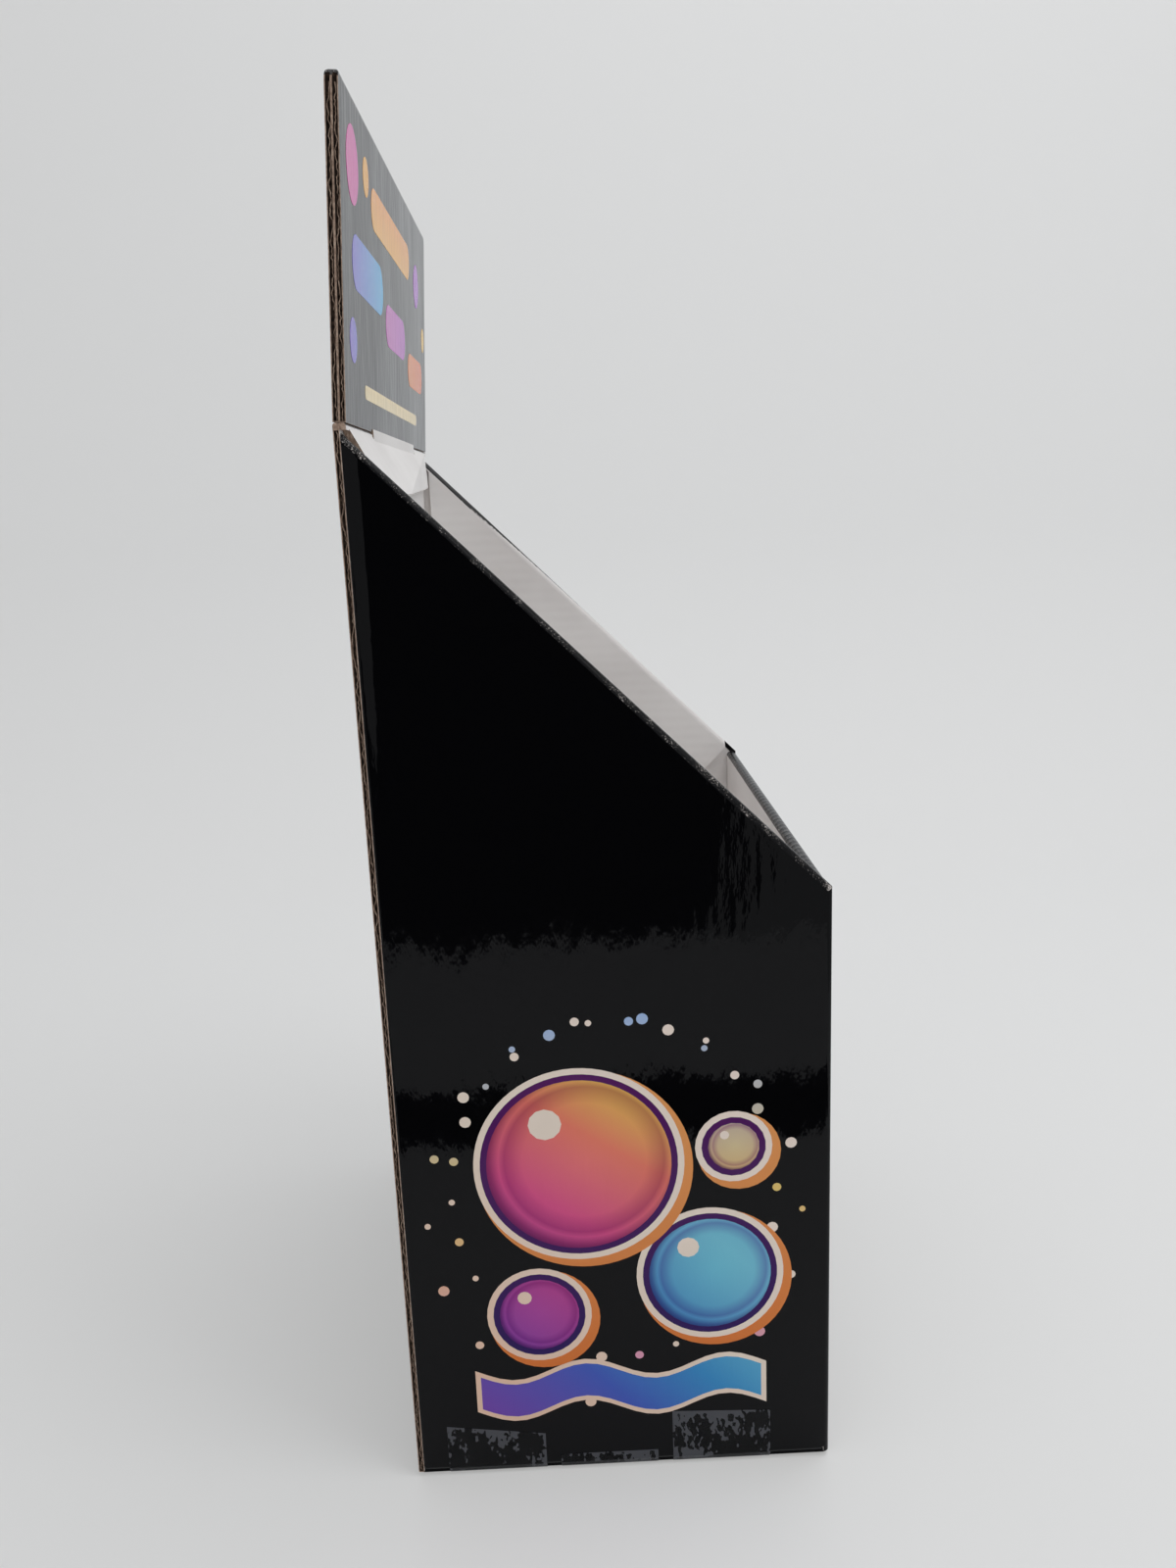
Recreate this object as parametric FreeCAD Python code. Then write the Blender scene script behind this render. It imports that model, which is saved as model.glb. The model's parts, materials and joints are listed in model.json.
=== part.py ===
import FreeCAD, Part
import math
import os

os.makedirs("parts", exist_ok=True)

V = FreeCAD.Vector

# All sizes are in millimetres. X runs across the stand, Y from its front to its back, Z is up.
# The origin is at the middle of the footprint, on the surface that the stand rests on.

# Stock: single wall corrugated board, clear packing tape and printing ink
board = 2.7
tape_width = 48.0
tape_thick = 0.12
ink_thick = 0.1

# Body, outside sizes. The side heights are those of the rolled slanting edge at its two ends.
body_width = 305.0
body_depth = 203.0
back_height = 500.0
side_back_height = 499.0
front_height = 295.5

# Rolled edges: the board is folded back on itself with a small gap between its two layers
roll_gap = 0.6
side_hem_depth = 95.0
front_hem_depth = 60.0
hem_mitre = 18.0
hem_clearance = 1.5

# Back edge: folded forward and pressed flat, into a flap that springs open, with a slot for the
# header's tab. The far end of the flap is bent back along a crease, and is shorter.
back_fold_radius = 1.2
back_flap_length = 30.0
back_flap_angle = 28.0
back_flap_mitre = 9.0
flap_crease_reach = 205.0
flap_far_length = 21.0
flap_far_angle = 4.0

# Glued joint at one back corner, and the four bottom flaps
glue_flap_width = 35.0
glue_flap_low = 12.0
glue_flap_high = 452.0
glue_flap_taper = 14.0
glue_fold_radius = 0.9
bottom_flap_gap = 1.0
bottom_flap_inset = 1.0
minor_flap_length = 98.0

# Header card, folded double over its top edge
header_inset = 1.0
header_height = 129.5
header_lean = 3.4
header_corner = 6.0
header_seat_gap = 0.3
tab_width = 160.0
tab_length = 24.0
tab_root = 1.1
tab_clearance = 0.5

# Raised floor inside the body, an upside down tray
floor_height = 200.0
floor_clearance = 1.5
floor_corner_gap = 3.0

# Tape strips under the body: name, distance from the back, height up the side at both edges.
# Each bridges the rounded bottom edge of a side, from tape_turn high to tape_step under the body.
tape_turn = 4.2
tape_step = 2.62
tape_strips = [
    ("tape_rear", 39.3, 28.0, 21.5),
    ("tape_middle", 94.4, 9.0, 9.0),
    ("tape_front", 149.8, 30.5, 28.5),
]

# Worked out from the sizes above
half_width = body_width / 2
half_depth = body_depth / 2
header_width = body_width - 2 * header_inset
base = tape_thick
roll_radius = board + roll_gap / 2
bore_radius = roll_gap / 2
slope = (side_back_height - front_height) / body_depth
slant = math.atan(slope)
hem_front = -half_depth + 2 * board + roll_gap + hem_clearance
hem_back = half_depth - 2 * board - hem_clearance
fold_y = half_depth - board
fold_z = back_height - board


def crest(y):
    """Height of the slanting rolled edge at the distance y from the middle."""
    return front_height + (y + half_depth) * slope


def roll_axis(y):
    """Height of the centre line of that roll."""
    return crest(y) - roll_radius / math.cos(slant)


def face_of(points):
    """Flat face inside a closed run of points."""
    return Part.Face(Part.makePolygon(points + [points[0]]))


def plate_x(outline, x, thick):
    """Plate across X: an outline of (y, z) points, from x on by thick."""
    return face_of([V(x, y, z) for y, z in outline]).extrude(V(thick, 0, 0))


def plate_y(outline, y, thick):
    """Plate across Y: an outline of (x, z) points, from y on by thick."""
    return face_of([V(x, y, z) for x, z in outline]).extrude(V(0, thick, 0))


def block(low, high):
    """Box between two corners."""
    size = [b - a for a, b in zip(low, high)]
    return Part.makeBox(size[0], size[1], size[2], V(*low))


def fold(low, high, axis_point, direction, length):
    """Quarter round outside of a fold: a rod of one board's radius, kept inside a box."""
    rod = Part.makeCylinder(board, length, V(*axis_point), direction)
    return rod.common(block(low, high))


def upright_fold(side_x, side_y, centre_y, low, high):
    """Rounded upright corner of the body, on the side_x and side_y side of its fold line."""
    centre_x = side_x * (half_width - board)
    x_ends = sorted([centre_x, centre_x + side_x * board])
    y_ends = sorted([centre_y, centre_y + side_y * board])
    return fold(
        (x_ends[0], y_ends[0], low), (x_ends[1], y_ends[1], high),
        (centre_x, centre_y, low), V(0, 0, 1), high - low,
    )


def half_roll(length):
    """Rolled edge lying along Y: the upper half of a tube, centred on its bore."""
    tube = Part.makeCylinder(roll_radius, length, V(0, 0, 0), V(0, 1, 0))
    bore = Part.makeCylinder(bore_radius, length, V(0, 0, 0), V(0, 1, 0))
    upper = block((-roll_radius, 0, 0), (roll_radius, length, roll_radius))
    return tube.cut(bore).common(upper)


def slanting_roll(side):
    """Rolled edge of one side. Its outer half runs on over the front corner, round in plan."""
    overrun = 2 * roll_radius
    start_y = -half_depth - overrun * math.cos(slant)
    run = body_depth / math.cos(slant) + 2 * overrun
    roll = half_roll(run)
    roll.rotate(V(0, 0, 0), V(1, 0, 0), math.degrees(slant))
    centre_x = side * (half_width - board - roll_gap / 2)
    roll.translate(V(centre_x, start_y, roll_axis(start_y)))
    full = block((-body_width, hem_front, 0), (body_width, fold_y, back_height))
    x_ends = sorted([centre_x, side * half_width])
    outer = block((x_ends[0], -half_depth + board, 0), (x_ends[1], hem_front, back_height))
    corner = Part.makeCylinder(
        board, back_height, V(side * (half_width - board), -half_depth + board, 0), V(0, 0, 1)
    )
    corner = corner.common(
        block((x_ends[0], -half_depth, 0), (x_ends[1], -half_depth + board, back_height))
    )
    return [roll.common(full), roll.common(outer), roll.common(corner)]


def side_wall(side):
    """Outer panel, slanting roll and inner panel of one side; side is -1 or 1."""
    outer_x = side * half_width
    wall_back = half_depth - 2 * board if side < 0 else half_depth - board
    front = -half_depth + board
    low = base + 2 * board
    outline = [
        (front, low), (wall_back, low), (wall_back, roll_axis(wall_back)), (front, roll_axis(front)),
    ]
    outer = plate_x(outline, outer_x, -side * board)

    drop = side_hem_depth
    lower_front = (hem_front + drop * math.sin(slant),
                   roll_axis(hem_front) - drop * math.cos(slant))
    lower_back = (hem_back, roll_axis(hem_back) - drop / math.cos(slant))
    inner_outline = [
        (hem_front, roll_axis(hem_front)), lower_front,
        lower_back, (hem_back, roll_axis(hem_back)),
    ]
    inner_x = outer_x - side * (board + roll_gap)
    inner = plate_x(inner_outline, inner_x, -side * board)
    return [outer, inner] + slanting_roll(side)


def minor_flap(side):
    """Bottom flap hinged on one side panel, lying on the two larger flaps."""
    low = base + board
    hinge_x = side * (half_width - board)
    free_x = side * (half_width - minor_flap_length)
    reach = half_depth - board - bottom_flap_inset
    x_ends = sorted([hinge_x, free_x])
    flap = block((x_ends[0], -reach, low), (x_ends[1], reach, low + board))
    x_fold = sorted([hinge_x, side * half_width])
    hinge = fold(
        (x_fold[0], -reach, low), (x_fold[1], reach, low + board),
        (hinge_x, -reach, low + board), V(0, 1, 0), 2 * reach,
    )
    return [flap, hinge]


def major_flap(side):
    """Bottom flap hinged on the front (-1) or back (1) panel; the two meet in the middle."""
    hinge_y = side * (half_depth - board)
    free_y = side * bottom_flap_gap / 2
    reach = half_width - board
    y_ends = sorted([hinge_y, free_y])
    flap = block((-reach, y_ends[0], base), (reach, y_ends[1], base + board))
    y_fold = sorted([hinge_y, side * half_depth])
    hinge = fold(
        (-reach, y_fold[0], base), (reach, y_fold[1], base + board),
        (-reach, hinge_y, base + board), V(1, 0, 0), 2 * reach,
    )
    return [flap, hinge]


def front_wall():
    """Front panel, its level rolled edge and the part turned down inside."""
    reach = half_width - board
    axis_z = front_height - roll_radius
    low = base + board
    panel = block((-reach, -half_depth, low), (reach, -half_depth + board, axis_z))
    roll = half_roll(2 * reach)
    roll.rotate(V(0, 0, 0), V(0, 0, 1), -90)
    roll.translate(V(-reach, -half_depth + board + roll_gap / 2, axis_z))

    inner_reach = reach - header_inset
    foot = axis_z - front_hem_depth
    outline = [
        (-inner_reach, axis_z), (inner_reach, axis_z),
        (inner_reach, foot + hem_mitre), (inner_reach - hem_mitre, foot),
        (-inner_reach + hem_mitre, foot), (-inner_reach, foot + hem_mitre),
    ]
    inner = plate_y(outline, -half_depth + board + roll_gap, board)
    front = -half_depth + board
    under = plate_x(
        [(-body_depth, low), (front, low), (front, roll_axis(front)), (-body_depth, roll_axis(-body_depth))],
        -body_width, 2 * body_width,
    )
    corners = [upright_fold(side, -1, front, low, front_height).common(under) for side in (-1, 1)]
    return [panel, roll, inner] + corners


def back_wall():
    """Back panel with its raw edge at one side, the fold at its top and the sprung flap."""
    low = base + board
    reach = half_width - board
    panel = block((-half_width, fold_y, low), (reach, half_depth, fold_z))
    far_corner = upright_fold(1, 1, fold_y, low, crest(fold_y))
    top = block((-half_width, fold_y - board, fold_z), (reach, half_depth, back_height))
    ridges = [edge for edge in top.Edges
              if edge.Length > body_depth and min(v.Z for v in edge.Vertexes) > back_height - roll_gap]
    top = top.makeFillet(back_fold_radius, ridges)

    flap_reach = half_width - 2 * board - roll_gap - hem_clearance
    angle = math.radians(back_flap_angle)
    far_angle = math.radians(flap_far_angle)

    def on_flap(x, distance, lean):
        """Point of the flap's hidden face, at a distance down from its fold."""
        return V(x, fold_y - distance * math.sin(lean), fold_z - distance * math.cos(lean))

    crease_x = flap_reach - flap_crease_reach
    far_top = on_flap(flap_reach, 0, angle)
    crease_end = on_flap(crease_x, back_flap_length, angle)
    near_part = [
        on_flap(-flap_reach, 0, angle), far_top, crease_end,
        on_flap(-flap_reach + back_flap_mitre, back_flap_length, angle),
        on_flap(-flap_reach, back_flap_length - back_flap_mitre, angle),
    ]
    far_end = on_flap(flap_reach, flap_far_length, far_angle)
    share = back_flap_mitre / flap_crease_reach
    cut_end = far_end + (crease_end - far_end) * share
    side_step = (far_top - far_end).normalize() * back_flap_mitre
    far_parts = [[far_top, far_end + side_step, cut_end], [far_top, cut_end, crease_end]]
    thickness = V(0, -math.cos(angle) * board, math.sin(angle) * board)
    flap = face_of(near_part).extrude(thickness)
    for part in far_parts:
        flap = flap.fuse(face_of(part).extrude(thickness))
    slot_low = (-tab_width / 2 - tab_clearance, fold_y - board - 2 * tab_clearance)
    slot_depth = (board + 2 * tab_clearance) / math.tan(angle) + board
    slot = block(
        (slot_low[0], slot_low[1], fold_z - slot_depth), (-slot_low[0], fold_y, back_height + board)
    )
    return [panel, far_corner, top.cut(slot), flap.cut(slot)]


def glue_joint():
    """Flap of the near side panel, glued inside the back panel."""
    hinge_x = -half_width + board
    inner_y = fold_y - board
    low = base + 2 * board
    corner = plate_x(
        [(inner_y, low), (fold_y, low), (fold_y, roll_axis(fold_y)), (inner_y, roll_axis(inner_y))],
        -half_width, board,
    )
    outer_edge = [edge for edge in corner.Edges
                  if max(v.X for v in edge.Vertexes) < hinge_x - roll_gap
                  and min(v.Y for v in edge.Vertexes) > inner_y + roll_gap]
    corner = corner.makeFillet(glue_fold_radius, outer_edge)
    outline = [
        (hinge_x, glue_flap_low), (hinge_x + glue_flap_width, glue_flap_low + glue_flap_taper),
        (hinge_x + glue_flap_width, glue_flap_high - glue_flap_taper), (hinge_x, glue_flap_high),
    ]
    return [corner, plate_y(outline, fold_y - board, board)]


def body_blank():
    """The whole body: one blank, folded, glued at one back corner."""
    pieces = back_wall() + front_wall() + glue_joint()
    for side in (-1, 1):
        pieces += side_wall(side) + minor_flap(side) + major_flap(side)
    return pieces[0].multiFuse(pieces[1:]).removeSplitter()


def header_place(shape):
    """Lean a header piece forward about the fold that it stands on."""
    shape.rotate(V(0, fold_y, back_height), V(1, 0, 0), header_lean)
    return shape


def header_card():
    """Header: one card folded double over its top, with a tab below."""
    half = header_width / 2
    low = back_height + header_seat_gap
    high = low + header_height - board
    slab = block((-half, fold_y - board, low), (half, fold_y + board, high))
    top = Part.makeCylinder(board, header_width, V(-half, fold_y, high), V(1, 0, 0))
    card = slab.fuse(top)
    tip = high + board
    for side in (-1, 1):
        corner_x = side * (half - header_corner)
        x_ends = sorted([corner_x, side * (half + board)])
        square = block((x_ends[0], fold_y - 2 * board, tip - header_corner),
                       (x_ends[1], fold_y + 2 * board, tip + board))
        round_rod = Part.makeCylinder(
            header_corner, 4 * board, V(corner_x, fold_y - 2 * board, tip - header_corner), V(0, 1, 0)
        )
        card = card.cut(square.cut(round_rod))
    card = header_place(card)
    tab_back = fold_y - tab_clearance
    tab = block(
        (-tab_width / 2, tab_back - board, back_height - tab_length),
        (tab_width / 2, tab_back, low + tab_root),
    )
    return card.fuse(tab).removeSplitter()


def raised_floor():
    """Upside down tray that lifts the goods: a top and four skirts, folded from one sheet."""
    low = base + 2 * board
    x_out = half_width - board - floor_clearance
    y_front = -half_depth + board + floor_clearance
    y_back = fold_y - board - floor_clearance
    x_in = x_out - board
    fronts = (y_front + board, y_back - board)
    skirt_high = floor_height - board
    top = block((-x_in, fronts[0], skirt_high), (x_in, fronts[1], floor_height))
    pieces = [top]
    for side in (-1, 1):
        x_ends = sorted([side * x_in, side * x_out])
        y_low = fronts[0] + floor_corner_gap
        y_high = fronts[1] - floor_corner_gap
        pieces.append(block((x_ends[0], y_low, low), (x_ends[1], y_high, skirt_high)))
        pieces.append(fold(
            (x_ends[0], y_low, skirt_high), (x_ends[1], y_high, floor_height),
            (side * x_in, y_low, skirt_high), V(0, 1, 0), y_high - y_low,
        ))
    x_skirt = x_in - floor_corner_gap
    for inner_y, outer_y in ((fronts[0], y_front), (fronts[1], y_back)):
        y_ends = sorted([inner_y, outer_y])
        pieces.append(block((-x_skirt, y_ends[0], low), (x_skirt, y_ends[1], skirt_high)))
        pieces.append(fold(
            (-x_skirt, y_ends[0], skirt_high), (x_skirt, y_ends[1], floor_height),
            (-x_skirt, inner_y, skirt_high), V(1, 0, 0), 2 * x_skirt,
        ))
    return pieces[0].multiFuse(pieces[1:]).removeSplitter()


def tape_strip(from_back, rear_height, front_height_up):
    """One strip of tape, up one side, under the body and up the other side."""
    middle = half_depth - from_back
    rear = middle + tape_width / 2
    front = middle - tape_width / 2
    tallest = max(rear_height, front_height_up)

    def profile(reach, low, top):
        """Cross section of the strip's outside or inside: an outline of (x, z) points."""
        right = [(reach - tape_step, low), (reach, low + tape_turn), (reach, top)]
        return right + [(-x, z) for x, z in reversed(right)]

    whole = plate_y(profile(half_width + tape_thick, 0, tallest), front, tape_width)
    hollow = plate_y(profile(half_width, base, tallest + board), front - board, tape_width + 2 * board)
    outline = [(rear, 0), (front, 0), (front, front_height_up), (rear, rear_height)]
    shorn = plate_x(outline, -body_width, 2 * body_width)
    return whole.cut(hollow).common(shorn)


# Printed fields. The motif is made of round bubbles, a wavy ribbon and small dots.
# A bubble is its place (y, z) on the near side panel and its radius.
big_bubble = (16.0, 166.0, 43.0)
middle_bubble = (-44.0, 106.0, 29.0)
small_bubble = (38.0, 88.0, 19.0)
tiny_bubble = (-56.0, 172.0, 12.0)
rim_violet = 3.0
rim_cream = 6.0
rim_orange = 10.0
rim_shift = 2.5
round_chord = 4.5
least_chords = 12
shine_size = 0.18
shine_shift = 0.5
shine_lean = 0.7
ribbon_middle = 46.0
ribbon_half_length = 68.0
ribbon_half_height = 9.0
ribbon_wave = 5.0
ribbon_rim = 2.5
dot_radius = 1.5
dot_growth = 0.6
dot_oval = 1.15
least_area = 1.0
# A ring of dots is its radius, its middle's height and the space between its dots
dot_rings = [(76.0, 150.0, 18.5), (88.0, 138.0, 31.0)]


def arc_points(u, v, radius, start, sweep):
    """Points of an arc about (u, v), a short chord apart; angles in degrees."""
    steps = max(least_chords, math.ceil(math.radians(sweep) * radius / round_chord))
    angles = [math.radians(start + sweep * step / steps) for step in range(steps + 1)]
    return [(u + radius * math.cos(angle), v + radius * math.sin(angle)) for angle in angles]


def disc(y, z, radius):
    """Round face on the near side panel."""
    return face_of([V(-half_width, u, v) for u, v in arc_points(y, z, radius, 0, 360)[:-1]])


def ribbon(margin):
    """Wavy band across the panel, wider by margin all round."""
    steps = 24
    reach = ribbon_half_length + margin
    height = ribbon_half_height + margin
    upper = []
    lower = []
    for step in range(steps + 1):
        y = reach * (2 * step / steps - 1)
        middle = ribbon_middle + ribbon_wave * math.sin(2 * math.pi * y / ribbon_half_length)
        upper.append(V(-half_width, y, middle + height))
        lower.append(V(-half_width, y, middle - height))
    return face_of(upper + lower[::-1])


def bubble_layers(place):
    """Fields of one bubble from the top down: shine, face, violet, cream and orange rims."""
    y, z, radius = place
    shift = radius * shine_shift
    return [
        ("shine", disc(y + shift * shine_lean, z + shift, radius * shine_size)),
        ("face", disc(y, z, radius)),
        ("violet", disc(y, z, radius + rim_violet)),
        ("cream", disc(y, z, radius + rim_cream)),
        ("orange", disc(y - rim_shift, z - rim_shift, radius + rim_orange - rim_shift)),
    ]


def side_print():
    """Printed fields on the near side panel, by colour, none of them over another."""
    colours = {}
    covered = None

    def lay(colour, face):
        nonlocal covered
        seen = face if covered is None else face.cut(covered)
        covered = face if covered is None else covered.fuse(face)
        if seen.Area > least_area:
            colours.setdefault(colour, []).append(seen)

    lay("blue", ribbon(0))
    lay("cream", ribbon(ribbon_rim))
    bubbles = [
        (big_bubble, "pink"), (middle_bubble, "blue"), (small_bubble, "pink"), (tiny_bubble, "gold"),
    ]
    for place, face_colour in bubbles:
        for layer, face in bubble_layers(place):
            lay({"face": face_colour, "shine": "cream"}.get(layer, layer), face)
    for ring_radius, centre_z, spacing in dot_rings:
        count = round(2 * math.pi * ring_radius / spacing)
        for index in range(count):
            turn = 2 * math.pi * index / count
            y = ring_radius * math.cos(turn)
            z = centre_z + ring_radius * dot_oval * math.sin(turn)
            lay("gold" if index % 2 else "cream", disc(y, z, dot_radius + dot_growth * (index % 3)))
    prints = {}
    for colour, faces in colours.items():
        solids = [face.extrude(V(-ink_thick, 0, 0)) for face in faces]
        prints["side_print_" + colour] = Part.makeCompound(solids)
    return prints


# Header motif: pills and discs, given as (x, height above the header's foot, half length, radius)
header_pills = {
    "header_print_blue": [(-82.0, 66.0, 34.0, 11.0), (-128.0, 34.0, 0.0, 9.0)],
    "header_print_pink": [(10.0, 54.0, 28.0, 10.0), (-122.0, 102.0, 0.0, 15.0), (104.0, 92.0, 0.0, 12.0)],
    "header_print_orange": [(96.0, 42.0, 26.0, 9.0), (-86.0, 106.0, 0.0, 8.0)],
    "header_print_cream": [(0.0, 98.0, 62.0, 9.0), (0.0, 16.0, 96.0, 3.0), (138.0, 66.0, 0.0, 7.0)],
}


def pill(x, height, half_length, radius):
    """Long field with round ends on the header's front, or a disc where it has no length."""
    y = fold_y - board
    z = back_height + header_seat_gap + height
    points = arc_points(x + half_length, z, radius, -90, 180)
    if half_length:
        points += arc_points(x - half_length, z, radius, 90, 180)
    else:
        points += arc_points(x, z, radius, 90, 180)[1:-1]
    return face_of([V(u, y, v) for u, v in points])


def header_print():
    """Printed fields on the front of the header, by colour."""
    prints = {}
    for name, pills in header_pills.items():
        solids = [pill(*place).extrude(V(0, -ink_thick, 0)) for place in pills]
        prints[name] = header_place(Part.makeCompound(solids))
    return prints


nodes = {
    "body_blank": body_blank(),
    "header_card": header_card(),
    "raised_floor": raised_floor(),
}
for name, from_back, rear_up, front_up in tape_strips:
    nodes[name] = tape_strip(from_back, rear_up, front_up)
nodes.update(side_print())
nodes.update(header_print())

for name, shape in nodes.items():
    shape.exportStep("parts/" + name + ".step")
    box = shape.BoundBox
    print(name, len(shape.Solids), "solids, volume", round(shape.Volume), "valid", shape.isValid(),
          "x", round(box.XMin, 2), round(box.XMax, 2), "y", round(box.YMin, 2), round(box.YMax, 2),
          "z", round(box.ZMin, 2), round(box.ZMax, 2))
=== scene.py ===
import json
import math
import random
import bpy
from mathutils import Matrix, Vector

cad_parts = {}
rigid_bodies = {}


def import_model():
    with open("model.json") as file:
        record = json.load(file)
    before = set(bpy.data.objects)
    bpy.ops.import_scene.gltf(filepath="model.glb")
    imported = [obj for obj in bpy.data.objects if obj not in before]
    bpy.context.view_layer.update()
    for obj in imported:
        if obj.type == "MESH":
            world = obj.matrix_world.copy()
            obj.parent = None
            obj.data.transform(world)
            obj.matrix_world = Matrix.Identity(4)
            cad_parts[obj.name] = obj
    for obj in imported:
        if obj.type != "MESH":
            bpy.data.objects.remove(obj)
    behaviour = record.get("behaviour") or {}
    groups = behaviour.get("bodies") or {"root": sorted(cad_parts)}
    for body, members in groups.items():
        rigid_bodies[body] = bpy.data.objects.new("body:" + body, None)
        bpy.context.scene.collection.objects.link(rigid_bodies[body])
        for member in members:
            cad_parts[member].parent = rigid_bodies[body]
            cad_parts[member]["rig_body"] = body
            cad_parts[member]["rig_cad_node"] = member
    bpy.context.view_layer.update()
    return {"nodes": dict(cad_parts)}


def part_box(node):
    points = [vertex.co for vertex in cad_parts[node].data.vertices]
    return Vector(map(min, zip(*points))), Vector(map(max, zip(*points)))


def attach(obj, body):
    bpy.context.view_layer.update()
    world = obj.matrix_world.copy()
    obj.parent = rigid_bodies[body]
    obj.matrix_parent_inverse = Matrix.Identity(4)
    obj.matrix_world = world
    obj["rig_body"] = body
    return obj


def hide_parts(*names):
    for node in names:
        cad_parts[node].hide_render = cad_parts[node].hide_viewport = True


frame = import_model()


# The folded body. One blank of single wall board, laminated with a gloss black print outside and
# white paper inside, folded over at its slanting and front edges and glued at one back corner.
# Its black reflects the room, its flutes show through the print, and its folds are cracked.

BOARD = 0.0027
LINER = 0.00042
FLUTE_PITCH = 0.0064
BODY_LOW, BODY_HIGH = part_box("body_blank")
FOLD_Y = BODY_HIGH.y - BOARD
FOLD_Z = BODY_HIGH.z - BOARD
NEAR_X = BODY_LOW.x
FAR_X = BODY_HIGH.x


def linear(code):
    """Linear colour from an sRGB hex code."""
    parts = [int(code[i:i + 2], 16) / 255 for i in (0, 2, 4)]
    return [p / 12.92 if p < 0.04045 else ((p + 0.055) / 1.055) ** 2.4 for p in parts] + [1.0]


def node(tree, kind, settings=None, inputs=None):
    """Add a node, set its properties, and set or link its inputs by name or number."""
    new = tree.nodes.new("ShaderNode" + kind)
    for key, value in (settings or {}).items():
        setattr(new, key, value)
    for key, value in (inputs or {}).items():
        if isinstance(value, bpy.types.NodeSocket):
            tree.links.new(value, new.inputs[key])
        else:
            new.inputs[key].default_value = value
    return new


def new_material(name):
    """Empty material with its shader; returns the material, its tree and the shader node."""
    material = bpy.data.materials.new(name)
    material.use_nodes = True
    tree = material.node_tree
    return material, tree, tree.nodes["Principled BSDF"]


def ramp(tree, factor, stops, interpolation="LINEAR"):
    """Colour ramp: stops are (place, hex code) pairs."""
    new = node(tree, "ValToRGB", None, {"Fac": factor})
    new.color_ramp.interpolation = interpolation
    elements = new.color_ramp.elements
    while len(elements) < len(stops):
        elements.new(0.5)
    for element, (place, code) in zip(elements, stops):
        element.position = place
        element.color = linear(code)
    return new.outputs["Color"]


def maths(tree, operation, first, second=0.0, clamp=False):
    """One arithmetic step."""
    settings = {"operation": operation, "use_clamp": clamp}
    return node(tree, "Math", settings, {0: first, 1: second}).outputs[0]


def noise(tree, scale, stretch=(1, 1, 1), detail=3.0, rough=0.5):
    """Noise over Object coordinates; scale in cells per metre."""
    place = node(tree, "TexCoord").outputs["Object"]
    turned = node(tree, "Mapping", None, {"Vector": place, "Scale": stretch}).outputs[0]
    inputs = {"Vector": turned, "Scale": scale, "Detail": detail, "Roughness": rough}
    return node(tree, "TexNoise", None, inputs).outputs["Fac"]


def coordinates(tree):
    """The X, Y and Z outputs of the Object coordinates."""
    place = node(tree, "TexCoord").outputs["Object"]
    return node(tree, "SeparateXYZ", None, {0: place}).outputs


def bump(tree, height, depth, base=None):
    """Bump of a depth in metres, on top of another where one is given."""
    inputs = {"Height": height, "Distance": depth, "Strength": 1.0}
    if base:
        inputs["Normal"] = base
    return node(tree, "Bump", None, inputs).outputs[0]


def flute_wave(tree, along):
    """Ridges one flute pitch apart, across the direction that is handed in."""
    turned = maths(tree, "MULTIPLY", along, 2 * math.pi / FLUTE_PITCH)
    return maths(tree, "SINE", turned)


# Relief of the laminated print: depths in metres, and scales in cells per metre
RIDGE_DEPTH = 0.000008
WARP_SCALE = 13.0
WARP_DEPTH = 0.0012
STREAK_SCALE = 150.0
STREAK_DEPTH = 0.00019
GRAIN_SCALE = 900.0
GRAIN_DEPTH = 0.0000025
VARNISH_IOR = 1.45


def gloss_print(name, colour_code, roughness, specular=0.5):
    """Offset print under gloss varnish, laminated to board: flutes and slow warps show in it."""
    material, tree, shader = new_material(name)
    x, y, z = coordinates(tree)[:3]
    across = maths(tree, "ADD", x, y)
    ridges = bump(tree, flute_wave(tree, across), RIDGE_DEPTH)
    warp = bump(tree, noise(tree, WARP_SCALE, (1, 1, 0.6), 2.0), WARP_DEPTH, ridges)
    streaks = bump(tree, noise(tree, STREAK_SCALE, (1, 1, 0.36), 3.0), STREAK_DEPTH, warp)
    grain = bump(tree, noise(tree, GRAIN_SCALE), GRAIN_DEPTH, streaks)
    shader.inputs["Roughness"].default_value = roughness
    shader.inputs["Specular IOR Level"].default_value = specular
    shader.inputs["IOR"].default_value = VARNISH_IOR
    tree.links.new(grain, shader.inputs["Normal"])
    shader.inputs["Base Color"].default_value = linear(colour_code)
    return material, tree, shader


black_print, tree, shader = gloss_print("gloss_black_print", "08080a", 0.05, 0.2)

# The side panel turns a little towards its back fold, most near the top, and catches light there
BEND_DEPTH = 0.0011
BEND_START = 0.0917
BEND_END = 0.0986
BEND_LOW = 0.28
BEND_HIGH = 0.46
x, y, z = coordinates(tree)[:3]
smooth = {"interpolation_type": "SMOOTHSTEP"}
bend = node(tree, "MapRange", smooth, {0: y, 1: BEND_START, 2: BEND_END}).outputs[0]
upper = node(tree, "MapRange", None, {0: z, 1: BEND_LOW, 2: BEND_HIGH}).outputs[0]
on_body = maths(tree, "LESS_THAN", z, FOLD_Z)
bent = maths(tree, "MULTIPLY", maths(tree, "MULTIPLY", bend, upper), on_body)
falling = maths(tree, "MULTIPLY", bent, -1.0)
relief = shader.inputs["Normal"].links[0].from_socket
tree.links.new(bump(tree, falling, BEND_DEPTH, relief), shader.inputs["Normal"])

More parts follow.
